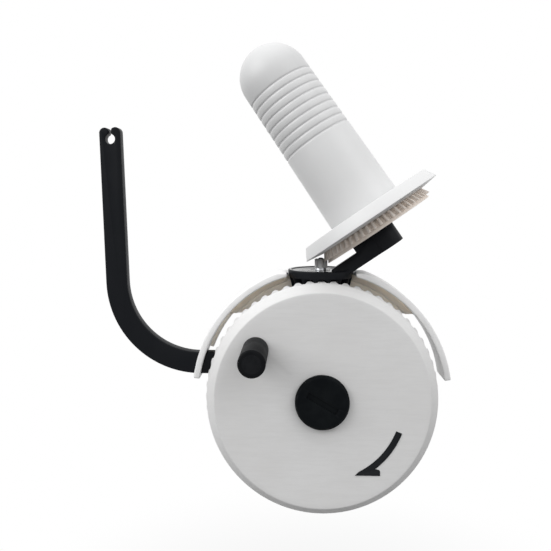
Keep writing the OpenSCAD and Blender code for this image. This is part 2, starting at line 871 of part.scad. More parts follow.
// The back plate's field, as seen from the front: its ends are level where they show beside the wheel
module plate_field() {
    reach = 2 * guard_r;
    bend_r = wheel_r - 8;
    x = bend_r * sin(plate_sweep);
    z = bend_r * cos(plate_sweep);
    polygon([
        [0, 0], [-x, z], [-x, plate_low], [-reach, plate_low], [-reach, reach],
        [reach, reach], [reach, plate_low], [x, plate_low], [x, z]
    ]);
}

// A narrow rim that runs on from the left back plate
module window_rim() {
    reach = 2 * guard_r;
    intersection() {
        difference() {
            bar(2 * guard_in_r + 1, guard_back - plate_t, guard_back);
            bar(2 * (guard_in_r - rim_w), guard_back - plate_t - 1, guard_back + 1);
        }
        plate(guard_back - plate_t - 1, guard_back + 1) polygon([
            [0, 0], reach * [-sin(rim_sweep), cos(rim_sweep)], reach * [-sin(plate_sweep), cos(plate_sweep)]
        ]);
    }
}

// Space for the rotor and its sloping arm to turn in, open to the front and level on top
module rotor_space() {
    top = guard_r + 2;
    crown = sweep_low + 1;
    low = rotor_low - 7;
    low_clear = rotor_tip(rotor_low) + rotor_gap;
    slot = rotor_clear - rotor_gap / 2;
    translate([0, rotor_depth, 0]) rotate_extrude() polygon([
        [0, low], [low_clear, low], [low_clear, rotor_low], [rotor_tip(sweep_low) + rotor_gap, sweep_low],
        [rotor_clear, sweep_low], [rotor_clear + (top - sweep_low) / tan(tilt), top], [0, top]
    ]);
    translate([-slot, guard_front - 1, low]) cube([2 * slot, rotor_depth - guard_front + 1, top - low]);
    translate([-guard_r / 2, guard_front - 1, crown])
        cube([guard_r, guard_back - guard_front + 2, top - crown]);
}

// One side of the arch over the wheel's teeth with its back plate, as a right-hand piece
module guard_half() {
    notch = bracket_half_w + 1;
    difference() {
        union() {
            intersection() {
                difference() {
                    bar(2 * guard_r, guard_front, guard_back);
                    bar(2 * guard_in_r, guard_front - 1, guard_back + 1);
                }
                plate(guard_front - 1, guard_back + 1) wedge(guard_sweep);
            }
            intersection() {
                difference() {
                    bar(2 * guard_in_r + 1, guard_back - plate_t, guard_back);
                    bar(2 * plate_r, guard_back - plate_t - 1, guard_back + 1);
                }
                plate(guard_back - plate_t - 1, guard_back + 1) plate_field();
            }
            intersection() {
                difference() {
                    bar(2 * guard_in_r + 1, guard_back - plate_t - ledge_t, guard_back - e);
                    bar(2 * ledge_r, guard_back - plate_t - ledge_t - 1, guard_back + 1);
                }
                plate(guard_back - plate_t - ledge_t - 1, guard_back + 1) plate_field();
            }
        }
        rotor_space();
        translate([-2 * guard_r, 0, -guard_r]) cube([2 * guard_r + notch, 2 * guard_back, 3 * guard_r]);
        at_guard_screws() bar(guard_screw_d, guard_back - plate_t - 1, guard_back + 1);
    }
}

module guard_right() {
    color(white) machine() guard_half();
}

// The left side has a window for the guide arm
module guard_left() {
    g = window_gap;
    color(white) machine() difference() {
        union() {
            mirror([1, 0, 0]) guard_half();
            window_rim();
        }
        translate([-1.5 * guard_r, guide_depth - g, guide_z - guide_w / 2 - g])
            cube([guard_r, guide_t + 2 * g, guide_w + 2 * g]);
    }
}

module guard_screws() {
    face = guard_back - plate_t;
    color(steel) machine() at_guard_screws() {
        bar(guard_screw_head_d, face - guard_screw_head_h, face);
        bar(guard_screw_d, face - e, face + guard_screw_len);
    }
}

// Guide arm

// Puts a shape into the leaning upright's frame, at the middle of the bend
module on_upright() {
    translate([bend_x, 0, bend_z]) rotate([0, -guide_lean, 0]) children();
}

module guide_bend_ring() {
    half = guide_w / 2;
    outer = guide_bend + half;
    cut = 2 * outer;
    difference() {
        translate([bend_x, 0, bend_z]) bar(2 * outer, guide_depth, guide_back);
        translate([bend_x, 0, bend_z]) bar(2 * (guide_bend - half), guide_depth - 1, guide_back + 1);
        translate([bend_x, guide_depth - 1, bend_z - cut]) cube([cut, guide_t + 2, 2 * cut]);
        on_upright() translate([-cut, guide_depth - 1, 0]) cube([2 * cut, guide_t + 2, cut]);
    }
}

module guide_bar() {
    half = guide_w / 2 - e;
    lobe = (guide_w - slit_w) / 4 + 0.4;
    root = 0.3;
    translate([bend_x, guide_depth, guide_z - guide_w / 2]) cube([guide_in - bend_x, guide_t, guide_w]);
    guide_bend_ring();
    on_upright() translate([-guide_bend, 0, 0]) {
        translate([-half, guide_depth + e, -root])
            cube([2 * half, guide_t - 2 * e, upright_len - lobe + root]);
        for (side = [-1, 1])
            translate([side * (half - lobe), 0, upright_len - lobe])
                bar(2 * lobe, guide_depth + e, guide_back - e);
    }
}

// The J-shaped arm that leads the yarn through the eye at its top
module guide_arm() {
    color(black) machine() difference() {
        guide_bar();
        on_upright() translate([-guide_bend, 0, upright_len - eye_drop]) {
            bar(eye_d, guide_depth - 1, guide_back + 1);
            translate([-slit_w / 2, guide_depth - 1, 0]) cube([slit_w, guide_t + 2, eye_drop + 1]);
        }
    }
}

// Clamp

module clamp_nut() {
    color(brass) translate([0, 0, jaw_low]) difference() {
        linear_extrude(nut_h) hexagon(nut_af);
        translate([0, 0, -1]) cylinder(d = screw_d + 2 * run_fit, h = nut_h + 2);
    }
}

// The swivelling pad keeps still on the table while the screw turns in it
module clamp_pad() {
    r = pad_d / 2;
    bore = screw_d / 2 + run_fit;
    color(black) rotate_extrude() polygon([
        [0, screw_tip + end_gap], [bore, screw_tip + end_gap], [bore, pad_low], [bore + 3, pad_low],
        [r, pad_low + 2.5], [r, -pad_drop - 0.6], [r - 0.6, -pad_drop], [0, -pad_drop]
    ]);
}

module clamp_screw() {
    color(steel) translate([0, 0, screw_end]) cylinder(d = screw_d, h = screw_tip - screw_end);
}

module clamp_knob() {
    r = clamp_knob_d / 2;
    low = clamp_knob_top - clamp_knob_h;
    chamfer = 1.5;
    color(black) difference() {
        rotate_extrude() polygon([
            [0, low], [r - chamfer, low], [r, low + chamfer], [r, clamp_knob_top - 4],
            [r - chamfer, clamp_knob_top - 3], [screw_d, clamp_knob_top - 2], [screw_d, clamp_knob_top],
            [0, clamp_knob_top]
        ]);
        for (i = [0 : grip_count - 1]) rotate([0, 0, (i + 0.5) * 360 / grip_count])
            translate([r + 3, 0, low - 1]) cylinder(r = 6.5, h = clamp_knob_h + 2);
        translate([0, 0, screw_end]) cylinder(d = screw_d, h = clamp_knob_h + 2);
    }
}

main_frame();
table_pad();
guard_left();
guard_right();
guard_screws();
axle_stud();
axle_washer();
axle_cap();
rotor_post();
post_nut();
sun_pinion();
sun_screw();
drive_wheel();
axle_bush();
direction_arrow();
crank_pin();
crank_knob();
knob_end_cap();
rotor();
rotor_bush();
spool_axle();
thrust_washer();
axle_retainer();
spool_core();
spool_flange();
spool_gear();
spool_bush();
guide_arm();
clamp_nut();
clamp_pad();
clamp_screw();
clamp_knob();
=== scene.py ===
"""Yarn ball winder: moulded pieces, finishes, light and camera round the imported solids."""

import json
import math

import bpy
from mathutils import Matrix, Vector


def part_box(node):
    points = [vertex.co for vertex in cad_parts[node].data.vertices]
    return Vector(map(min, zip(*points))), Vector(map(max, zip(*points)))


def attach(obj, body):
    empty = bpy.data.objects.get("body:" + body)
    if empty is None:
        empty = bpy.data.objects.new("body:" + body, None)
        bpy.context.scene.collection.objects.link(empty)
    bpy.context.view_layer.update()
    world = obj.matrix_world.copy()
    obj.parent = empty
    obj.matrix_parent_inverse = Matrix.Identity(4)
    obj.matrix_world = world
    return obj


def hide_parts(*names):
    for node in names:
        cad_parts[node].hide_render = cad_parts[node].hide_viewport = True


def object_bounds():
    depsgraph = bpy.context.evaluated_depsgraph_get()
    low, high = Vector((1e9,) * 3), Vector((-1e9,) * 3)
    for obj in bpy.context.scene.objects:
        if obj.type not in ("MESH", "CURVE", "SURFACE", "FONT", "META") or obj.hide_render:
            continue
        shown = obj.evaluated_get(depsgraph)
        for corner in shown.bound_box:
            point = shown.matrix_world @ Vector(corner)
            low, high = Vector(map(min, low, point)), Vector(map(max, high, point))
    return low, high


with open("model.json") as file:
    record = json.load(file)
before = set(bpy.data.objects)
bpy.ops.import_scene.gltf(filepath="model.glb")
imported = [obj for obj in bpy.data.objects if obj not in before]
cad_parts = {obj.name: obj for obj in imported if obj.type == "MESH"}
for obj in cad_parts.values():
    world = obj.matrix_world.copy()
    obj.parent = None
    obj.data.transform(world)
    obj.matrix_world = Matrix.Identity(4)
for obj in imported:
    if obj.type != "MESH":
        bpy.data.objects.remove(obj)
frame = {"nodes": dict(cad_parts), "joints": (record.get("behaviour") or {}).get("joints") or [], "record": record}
solid_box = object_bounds()

# Lengths are in millimetres, heights run along a piece's own axis; MM turns them into metres
MM = 0.001
WELD = 0.002
FLAT_ANGLE = math.radians(0.3)
FILLET_STEP = math.radians(15)

record = frame["record"]
joints = {joint["name"]: joint for joint in frame["joints"]}
body_of = {node: body for body, nodes in record["behaviour"]["bodies"].items() for node in nodes}


# Places: where the turned pieces stand in the frame

def at_joint(name, turn):
    """A place at a joint's centre, turned to the piece's own axis."""
    return Matrix.Translation(Vector(joints[name]["pos_m"])) @ turn


DEPTHWISE = Matrix.Rotation(math.radians(-90), 4, "X")
spool_axis = Vector(joints["spool_spin"]["axis"])
lean = Vector((0, 0, 1)).angle(spool_axis)
arm_turn = math.atan2(-spool_axis.y, -spool_axis.x)
wheel_place = at_joint("wheel_spin", DEPTHWISE)
knob_place = at_joint("knob_spin", DEPTHWISE)
spool_turn = Matrix.Rotation(arm_turn, 4, "Z") @ Matrix.Rotation(-lean, 4, "Y")
spool_place = at_joint("spool_spin", spool_turn)


# Modelling helpers

def deselect_all():
    bpy.ops.object.select_all(action="DESELECT")


def take(piece):
    """Makes one object the only selected and active one."""
    deselect_all()
    piece.select_set(True)
    bpy.context.view_layer.objects.active = piece


def edit(piece):
    """Opens one object in edit mode with all of it selected."""
    take(piece)
    bpy.ops.object.mode_set(mode="EDIT")
    bpy.ops.mesh.select_all(action="SELECT")


def done():
    bpy.ops.object.mode_set(mode="OBJECT")


def fix_place(piece, place):
    """Moves the place into the mesh, so the object itself stays at the origin."""
    take(piece)
    piece.matrix_world = place
    bpy.ops.object.transform_apply(location=True, rotation=True, scale=True)


def finish_edges(piece, width, segments=2, angle=34.0, smooth=38.0):
    """Rounds the sharp edges and smooths the rest."""
    take(piece)
    if width:
        bevel = piece.modifiers.new("eased_edges", "BEVEL")
        bevel.width = width * MM
        bevel.segments = segments
        bevel.limit_method = "ANGLE"
        bevel.angle_limit = math.radians(angle)
        bevel.use_clamp_overlap = False
        bevel.miter_outer = "MITER_ARC"
        bpy.ops.object.modifier_apply(modifier=bevel.name)
    bpy.ops.object.shade_smooth_by_angle(angle=math.radians(smooth))


def rounded(corners):
    """An outline of (radius, height) corners, where a third number is the radius of a fillet."""
    points = []
    count = len(corners)
    for i, corner in enumerate(corners):
        here = Vector(corner[:2])
        fillet = corner[2] if len(corner) > 2 else 0
        if not fillet:
            points.append(here)
            continue
        before = (Vector(corners[i - 1][:2]) - here).normalized()
        after = (Vector(corners[(i + 1) % count][:2]) - here).normalized()
        half = before.angle(after) / 2
        middle = here + (before + after).normalized() * (fillet / math.sin(half))
        start = here + before * (fillet / math.tan(half))
        end = here + after * (fillet / math.tan(half))
        sweep = (start - middle).angle_signed(end - middle)
        steps = max(2, round(abs(sweep) / FILLET_STEP))
        for k in range(steps + 1):
            turn = Matrix.Rotation(-sweep * k / steps, 2)
            points.append(middle + turn @ (start - middle))
    return [(p.x, p.y) for p in points]


def drawn(name, path):
    """One point drawn out along a path of radius and height; the line stays open in edit mode."""
    deselect_all()
    bpy.ops.mesh.primitive_plane_add(size=MM)
    piece = bpy.context.object
    piece.name = name
    piece.data.name = name
    edit(piece)
    bpy.ops.mesh.merge(type="CENTER")
    bpy.ops.transform.translate(value=(path[0][0] * MM, 0, path[0][1] * MM))
    for (r0, h0), (r1, h1) in zip(path, path[1:]):
        move = ((r1 - r0) * MM, 0, (h1 - h0) * MM)
        bpy.ops.mesh.extrude_region_move(TRANSFORM_OT_translate={"value": move})
    return piece


def turned(name, outline, place, steps=96, closed=True):
    """A turned piece: the outline drawn as a line, then spun about the local Z axis."""
    piece = drawn(name, list(outline) + ([outline[0]] if closed else []))
    bpy.ops.mesh.select_all(action="SELECT")
    bpy.ops.mesh.remove_doubles(threshold=WELD / 4 * MM)
    bpy.ops.mesh.spin(steps=steps, angle=math.tau, center=(0, 0, 0), axis=(0, 0, 1))
    bpy.ops.mesh.select_all(action="SELECT")
    bpy.ops.mesh.remove_doubles(threshold=WELD * MM)
    bpy.ops.mesh.normals_make_consistent(inside=False)
    done()
    fix_place(piece, place)
    return piece


def prism(name, near_half, far_half, near, far, length):
    """A long block whose section narrows from one side to the other, for cutting gaps."""
    deselect_all()
    bpy.ops.mesh.primitive_cube_add(size=1)
    block = bpy.context.object
    block.name = name
    edit(block)
    bpy.ops.transform.resize(value=(2 * near_half * MM, (far - near) * MM, length * MM))
    bpy.ops.transform.translate(value=(0, (near + far) / 2 * MM, length / 2 * MM))
    bpy.ops.mesh.select_all(action="DESELECT")
    done()
    for face in block.data.polygons:
        face.select = face.normal.y > 0.9
    bpy.ops.object.mode_set(mode="EDIT")
    bpy.ops.transform.resize(value=(far_half / near_half, 1, 1), center_override=(0, far * MM, 0))
    done()
    return block


def cut_with(piece, cutters):
    """Takes the cutters out of a piece and deletes them."""
    take(cutters[0])
    for cutter in cutters:
        cutter.select_set(True)
    if len(cutters) > 1:
        bpy.ops.object.join()
    tool = bpy.context.object
    take(piece)
    cut = piece.modifiers.new("cut", "BOOLEAN")
    cut.operation = "DIFFERENCE"
    cut.solver = "EXACT"
    cut.object = tool
    bpy.ops.object.modifier_apply(modifier=cut.name)
    bpy.data.objects.remove(tool)


def ring_of(block, places):
    """Copies of one block, each with its own mesh, at the given places."""
    copies = []
    for place in places:
        twin = block.copy()
        twin.data = block.data.copy()
        bpy.context.scene.collection.objects.link(twin)
        twin.matrix_world = place
        copies.append(twin)
    bpy.data.objects.remove(block)
    return copies


def eased_copy(node, width, segments=2, angle=30.0, weld=WELD, merge_flats=True):
    """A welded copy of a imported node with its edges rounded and, unless told not to, its flats merged."""
    mesh = frame["nodes"][node].data.copy()
    piece = bpy.data.objects.new(node + "_piece", mesh)
    bpy.context.scene.collection.objects.link(piece)
    mesh.materials.clear()
    edit(piece)
    bpy.ops.mesh.customdata_custom_splitnormals_clear()
    bpy.ops.mesh.remove_doubles(threshold=weld * MM)
    if merge_flats:
        bpy.ops.mesh.dissolve_limited(angle_limit=FLAT_ANGLE)
    done()
    finish_edges(piece, width, segments, angle)
    return piece


def dress(piece, node, *finishes):
    """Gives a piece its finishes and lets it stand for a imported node."""
    piece.data.materials.clear()
    for finish in finishes:
        piece.data.materials.append(finish)
    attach(piece, body_of[node])
    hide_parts(node)


# Finishes: shared effects

VALUE = "NodeSocketFloat"
COLOUR = "NodeSocketColor"


def effect(name, inputs, outputs):
    """A shader node group with named sockets; returns the group, its input node and its output node."""
    group = bpy.data.node_groups.new(name, "ShaderNodeTree")
    for socket, kind, value in inputs:
        item = group.interface.new_socket(socket, in_out="INPUT", socket_type=kind)
        item.default_value = value
    for socket, kind in outputs:
        group.interface.new_socket(socket, in_out="OUTPUT", socket_type=kind)
    return group, group.nodes.new("NodeGroupInput"), group.nodes.new("NodeGroupOutput")


def preset(node, values):
    """Sets the constants of a node's sockets."""
    for socket, value in values.items():
        node.inputs[socket].default_value = value


def put(tree, kind, values=None, **settings):
    """Adds a node with its settings and the constants of its sockets."""
    node = tree.nodes.new(kind)
    for key, value in settings.items():
        setattr(node, key, value)
    preset(node, values or {})
    return node


def wire(tree, *links):
    """Joins nodes: each link is a node and its output, then a node and its input."""
    for source, out, sink, into in links:
        tree.links.new(source.outputs[out], sink.inputs[into])


def spread_of(tree, **ends):
    """A map from one range to another; ends are given as from_min, to_max and so on."""
    return put(tree, "ShaderNodeMapRange", {key.replace("_", " ").title(): end for key, end in ends.items()})


def stretched_noise(tree, scale, stretch=(1, 1, 1), detail=3.0, rough=0.55):
    """Noise on object coordinates, with its grain drawn out along the axes."""
    place = put(tree, "ShaderNodeTexCoord")
    mapping = put(tree, "ShaderNodeMapping", {"Scale": stretch})
    noise = put(tree, "ShaderNodeTexNoise", {"Detail": detail, "Roughness": rough})
    wire(tree, (place, "Object", mapping, "Vector"), (mapping, "Vector", noise, "Vector"))
    if isinstance(scale, (int, float)):
        preset(noise, {"Scale": scale})
    else:
        tree.links.new(scale, noise.inputs["Scale"])
    return noise


MID_GREY = (0.8, 0.8, 0.8, 1)


def make_tone_drift():
    """Soft blotches between two close tones, as in moulded plastic."""
    group, source, sink = effect(
        "tone_drift",
        [("Tone", COLOUR, MID_GREY), ("Drift", COLOUR, MID_GREY), ("Scale", VALUE, 30.0)],
        [("Tone", COLOUR)],
    )
    noise = stretched_noise(group, source.outputs["Scale"], detail=4.0)
    ramp = spread_of(group, from_min=0.35, from_max=0.68)
    mix = put(group, "ShaderNodeMix", data_type="RGBA")
    wire(group, (noise, "Fac", ramp, "Value"), (ramp, "Result", mix, "Factor"), (source, "Tone", mix, "A"),
         (source, "Drift", mix, "B"), (mix, "Result", sink, "Tone"))
    return group


def make_edge_rub():
    """Paler, rubbed tone along the convex edges."""
    group, source, sink = effect(
        "edge_rub",
        [("Tone", COLOUR, MID_GREY), ("Rubbed", COLOUR, MID_GREY), ("Amount", VALUE, 0.5)],
        [("Tone", COLOUR)],
    )
    shape = put(group, "ShaderNodeNewGeometry")
    ramp = spread_of(group, from_min=0.52, from_max=0.66)
    broken = stretched_noise(group, 260.0)
    patch = put(group, "ShaderNodeMath", operation="MULTIPLY")
    strength = put(group, "ShaderNodeMath", operation="MULTIPLY")
    mix = put(group, "ShaderNodeMix", data_type="RGBA")
    wire(group, (shape, "Pointiness", ramp, "Value"), (ramp, "Result", patch, 0), (broken, "Fac", patch, 1),
         (patch, "Value", strength, 0), (source, "Amount", strength, 1), (strength, "Value", mix, "Factor"),
         (source, "Tone", mix, "A"), (source, "Rubbed", mix, "B"), (mix, "Result", sink, "Tone"))
    return group


def make_mould_grain():
    """The fine spark-eroded grain of a moulding tool: height for a bump and a varying roughness."""
    group, source, sink = effect(
        "mould_grain",
        [("Scale", VALUE, 1800.0), ("Smoothest", VALUE, 0.38), ("Roughest", VALUE, 0.5)],
        [("Height", VALUE), ("Roughness", VALUE)],
    )
    fine = stretched_noise(group, source.outputs["Scale"], detail=2.0)
    broad = stretched_noise(group, 45.0)
    blend = put(group, "ShaderNodeMath", {1: 0.35}, operation="MULTIPLY_ADD")
    spread = spread_of(group, from_min=0.45, from_max=0.9)
    wire(group, (fine, "Fac", blend, 0), (broad, "Fac", blend, 2), (blend, "Value", spread, "Value"),
         (source, "Smoothest", spread, "To Min"), (source, "Roughest", spread, "To Max"),
         (fine, "Fac", sink, "Height"), (spread, "Result", sink, "Roughness"))
    return group


def make_fine_streaks():
    """Faint level streaks in the tone, as left by a long moulding flow."""
    group, source, sink = effect(
        "fine_streaks",
        [("Tone", COLOUR, MID_GREY), ("Streak", COLOUR, MID_GREY), ("Amount", VALUE, 0.5)],
        [("Tone", COLOUR)],
    )
    noise = stretched_noise(group, 420.0, (0.12, 1, 1), detail=5.0, rough=0.7)
    ramp = spread_of(group, from_min=0.42, from_max=0.72)
    strength = put(group, "ShaderNodeMath", operation="MULTIPLY")
    mix = put(group, "ShaderNodeMix", data_type="RGBA")
    wire(group, (noise, "Fac", ramp, "Value"), (ramp, "Result", strength, 0), (source, "Amount", strength, 1),
         (strength, "Value", mix, "Factor"), (source, "Tone", mix, "A"), (source, "Streak", mix, "B"),
         (mix, "Result", sink, "Tone"))
    return group


tone_drift = make_tone_drift()
edge_rub = make_edge_rub()
mould_grain = make_mould_grain()
fine_streaks = make_fine_streaks()


# Finishes: plastics and metals, their tones as red, green and blue

def use(tree, group, **values):
    """Places a shared effect with its own values; three numbers are a colour."""
    full = {key: (*value, 1) if isinstance(value, tuple) else value for key, value in values.items()}
    return put(tree, "ShaderNodeGroup", full, node_tree=group)


def new_finish(name):
    """A material with its node tree and its main shader."""
    finish = bpy.data.materials.new(name)
    finish.use_nodes = True
    return finish, finish.node_tree, finish.node_tree.nodes["Principled BSDF"]


def shade(value, warmth=0.0):
    """A grey of the given brightness, a little warmer or cooler."""
    return (value * (1 + warmth), value, value * (1 - warmth))


def plastic(name, tone, drift, rubbed, grain=1800.0, rough=(0.38, 0.5), depth=0.02, rub=0.5,
            drift_scale=30.0, gloss=0.5, streak=None, glow_depth=0.0):
    """Moulded plastic: drifting tone, rubbed edges and a fine grain.

    Where given, it also has faint level streaks, or lets light seep through to a depth.
    """
    finish, tree, shader = new_finish(name)
    preset(shader, {"Specular IOR Level": gloss})
    if glow_depth:
        preset(shader, {"Subsurface Weight": 1.0, "Subsurface Radius": (1.0, 0.95, 0.9),
                        "Subsurface Scale": glow_depth * MM})
    flow = use(tree, tone_drift, Tone=tone, Drift=drift, Scale=drift_scale)
    if streak:
        streaks = use(tree, fine_streaks, Streak=streak, Amount=0.5)
        wire(tree, (flow, "Tone", streaks, "Tone"))
        flow = streaks
    worn = use(tree, edge_rub, Rubbed=rubbed, Amount=rub)
    grained = use(tree, mould_grain, Scale=grain, Smoothest=rough[0], Roughest=rough[1])
    bump = put(tree, "ShaderNodeBump", {"Strength": 0.6, "Distance": depth * MM})
    wire(tree, (flow, "Tone", worn, "Tone"), (worn, "Tone", shader, "Base Color"),
         (grained, "Roughness", shader, "Roughness"), (grained, "Height", bump, "Height"),
         (bump, "Normal", shader, "Normal"))
    return finish


def metal(name, tone, drift, stretch, rough=(0.25, 0.42)):
    """Turned or drawn metal: fine marks drawn out round or along the piece."""
    finish, tree, shader = new_finish(name)
    preset(shader, {"Metallic": 1.0})
    marks = stretched_noise(tree, 900.0, stretch, detail=2.0)
    spread = spread_of(tree, to_min=rough[0], to_max=rough[1])
    bump = put(tree, "ShaderNodeBump", {"Strength": 0.25, "Distance": 0.02 * MM})
    blotch = use(tree, tone_drift, Tone=tone, Drift=drift, Scale=120.0)
    wire(tree, (blotch, "Tone", shader, "Base Color"), (marks, "Fac", spread, "Value"),
         (spread, "Result", shader, "Roughness"), (marks, "Fac", bump, "Height"),
         (bump, "Normal", shader, "Normal"))
    return finish


wheel_white = plastic(
    "wheel_white", shade(0.79), shade(0.76, 0.004), shade(0.86), grain=1500.0,
    rough=(0.42, 0.56), depth=0.03, drift_scale=22.0, streak=shade(0.71, 0.004))
spool_white = plastic(
    "spool_white", shade(0.70, -0.004), shade(0.675, -0.004), shade(0.76), grain=2200.0,
    rough=(0.36, 0.46), depth=0.012, drift_scale=18.0)
flange_white = plastic(
    "flange_white", shade(0.73, -0.003), shade(0.705, -0.003), shade(0.80), grain=2200.0,
    rough=(0.36, 0.46), depth=0.012, drift_scale=18.0)
guard_white = plastic(
    "guard_white", shade(0.90, 0.001), shade(0.87, 0.004), shade(0.92), rough=(0.36, 0.5))
# Tan tone for the recessed back plate under the guard's arch: painted warm shade and bounce light in the recess
guard_shaded_tan = plastic(
    "guard_shaded_tan", (0.96, 0.84, 0.75), (0.94, 0.81, 0.715), (0.96, 0.87, 0.80), grain=1600.0,
    rough=(0.42, 0.55), drift_scale=24.0, glow_depth=12.0)
# Cream tone for the toothed ring: painted warm shade from the flange overhanging it
ring_shaded_cream = plastic(
    "ring_shaded_cream", (0.90, 0.82, 0.75), (0.84, 0.75, 0.67), (0.92, 0.89, 0.86), grain=1900.0,
    rough=(0.4, 0.52), depth=0.015, rub=0.8, drift_scale=60.0)
frame_white = plastic(
    "frame_white", shade(0.78, 0.004), shade(0.74, 0.01), shade(0.84), grain=1500.0,
    rough=(0.4, 0.54), depth=0.03)
arm_black = plastic(
    "arm_black", (0.0045, 0.0055, 0.0075), (0.007, 0.008, 0.010), (0.03, 0.03, 0.034), grain=1300.0,
    rough=(0.36, 0.5), depth=0.025, rub=0.6, drift_scale=40.0, gloss=0.1)
knob_black = plastic(
    "knob_black", (0.004, 0.0045, 0.0055), (0.007, 0.0075, 0.0085), (0.035, 0.036, 0.04), grain=900.0,
    rough=(0.4, 0.6), depth=0.05, rub=0.7, drift_scale=120.0, gloss=0.05)
cap_black = plastic(
    "cap_black", (0.003, 0.004, 0.005), (0.006, 0.0075, 0.0085), (0.04, 0.04, 0.045), grain=1000.0,
    rough=(0.42, 0.6), depth=0.05, rub=0.6, drift_scale=150.0, gloss=0.05)
rotor_black = plastic(
    "rotor_black", (0.007, 0.008, 0.0105), (0.010, 0.011, 0.0135), (0.05, 0.05, 0.055), grain=1300.0,
    rough=(0.36, 0.48), drift_scale=40.0, gloss=0.1)
rotor_gloss = plastic(
    "rotor_gloss", (0.007, 0.008, 0.0105), (0.009, 0.010, 0.0125), (0.05, 0.05, 0.055), grain=700.0,
    rough=(0.1, 0.18), depth=0.004, rub=0.3, drift_scale=40.0, gloss=0.9)
arrow_black = plastic(
    "arrow_black", (0.009, 0.010, 0.012), (0.013, 0.014, 0.016), (0.05, 0.05, 0.055), grain=1400.0,
    rough=(0.4, 0.55), rub=0.4, drift_scale=90.0, gloss=0.1)
pad_rubber = plastic(
    "pad_rubber", (0.018, 0.018, 0.019), (0.026, 0.026, 0.027), (0.06, 0.06, 0.06), grain=700.0,
    rough=(0.7, 0.88), depth=0.08, drift_scale=80.0, gloss=0.25)
axle_steel = metal("axle_steel", (0.55, 0.56, 0.58), (0.47, 0.48, 0.50), (1, 0.04, 1))
post_steel = metal("post_steel", (0.55, 0.56, 0.58), (0.47, 0.48, 0.50), (0.05, 0.05, 1))
bearing_bronze = metal(
    "bearing_bronze", (0.50, 0.34, 0.16), (0.42, 0.28, 0.13), (1, 1, 0.1), rough=(0.3, 0.5))


# Drive wheel: a dished disc with a rounded shoulder and sixty bevel teeth at its back edge

WHEEL_R = 80.0
RIM_R = 79.0
FACE_R = 72.5
SHOULDER_DEPTH = 5.9
PLATE = 3.0
HUB_R = 13.0
HUB_LEN = 24.0
BORE_R = 7.05
PIN_HOLE_R = 3.5
TEETH = 60
ROTOR_TEETH = 15
TEETH_IN = 70.0
TEETH_MID = 75.0
BACKLASH = 0.7
RATIO = ROTOR_TEETH / TEETH
CONE = math.atan(RATIO)
AXES_GAP = 30.25
ADDENDUM = 2.0
DEDENDUM = 2.5
TOOTH_SLOPE = math.tan(math.radians(25))
GAP_HALF = (math.tau / TEETH * TEETH_MID / 2 + BACKLASH / 4) / 2
GAP_LEN = 18.0


def pitch_depth(r):
    """How far behind the wheel's face the teeth's pitch cone lies at a radius."""
    return AXES_GAP - r * RATIO


def build_wheel():
    tip = ADDENDUM / math.cos(CONE)
    root = DEDENDUM / math.cos(CONE)
    tip_in = pitch_depth(TEETH_IN) + tip
    wheel = turned("drive_wheel_piece", rounded([
        (BORE_R, 0), (BORE_R + 2, 0), (FACE_R - 3, 0), (FACE_R + 0.6, 0, 1.6),
        (RIM_R - 0.3, SHOULDER_DEPTH, 2.2), (RIM_R, pitch_depth(RIM_R) - root + 0.4),
        (WHEEL_R, pitch_depth(WHEEL_R) + tip), (TEETH_IN, tip_in), (TEETH_IN - 2, tip_in),
        (TEETH_IN - 2, PLATE, 1.5), (HUB_R, PLATE, 1.5), (HUB_R, HUB_LEN, 0.5), (BORE_R, HUB_LEN),
    ]), wheel_place, steps=240)
    over = ADDENDUM + 1
    near_half = GAP_HALF + over * TOOTH_SLOPE
    far_half = GAP_HALF - DEDENDUM * TOOTH_SLOPE
    gap = prism("gap", near_half, far_half, -over, DEDENDUM, GAP_LEN)
    out = WHEEL_R + 3
    seat = Matrix.Translation((0, pitch_depth(out) * MM, out * MM)) @ Matrix.Rotation(math.pi + CONE, 4, "X")
    centre = Matrix.Translation(Vector(joints["wheel_spin"]["pos_m"]))
    cut_with(wheel, ring_of(gap, [
        centre @ Matrix.Rotation((i + 0.5) * math.tau / TEETH, 4, "Y") @ seat for i in range(TEETH)
    ]))
    pin_hole = turned("pin_hole", [
        (0, -1), (PIN_HOLE_R, -1), (PIN_HOLE_R, PLATE + 1), (0, PLATE + 1),
    ], knob_place, steps=32, closed=False)
    cut_with(wheel, [pin_hole])
    finish_edges(wheel, 0.3, segments=3, smooth=40.0)
    dress(wheel, "drive_wheel", wheel_white)


build_wheel()


# Axle cap and crank knob

CAP_R = 18.3
CAP_FRONT = -4.8
CAP_BACK = -0.8
STEM_R = 3.0
STEM_END = 12.0
SLOT_HALF_LEN = 11.5
SLOT_HALF_W = 2.1
SLOT_DEPTH = 1.4
SLOT_CUT = 3.0
SLOT_TURN = math.radians(30)


def build_cap():
    cap = turned("axle_cap_piece", rounded([
        (0, CAP_FRONT), (CAP_R - 1.5, CAP_FRONT, 0.4), (CAP_R, CAP_FRONT + 1.4, 0.4), (CAP_R, CAP_BACK, 0.3),
        (STEM_R, CAP_BACK), (STEM_R, STEM_END, 0.5), (0, STEM_END),
    ]), wheel_place, steps=128, closed=False)
    slot = prism("slot", SLOT_HALF_LEN, SLOT_HALF_LEN, -SLOT_HALF_W, SLOT_HALF_W, SLOT_CUT)
    start = Matrix.Translation((0, 0, (CAP_FRONT + SLOT_DEPTH - SLOT_CUT) * MM))
    cut_with(cap, ring_of(slot, [wheel_place @ start @ Matrix.Rotation(SLOT_TURN, 4, "Z")]))
    finish_edges(cap, 0.25, angle=42.0, smooth=34.0)
    dress(cap, "axle_cap", cap_black)


KNOB_R = 8.8
KNOB_TIP = -41.3
KNOB_BASE = -0.3
KNOB_EASE = 0.9
KNOB_BORE_R = 3.55
HEAD_R = 5.9
HEAD_DEPTH = 7.8
END_CAP_R = 5.89
END_CAP_H = 4.2


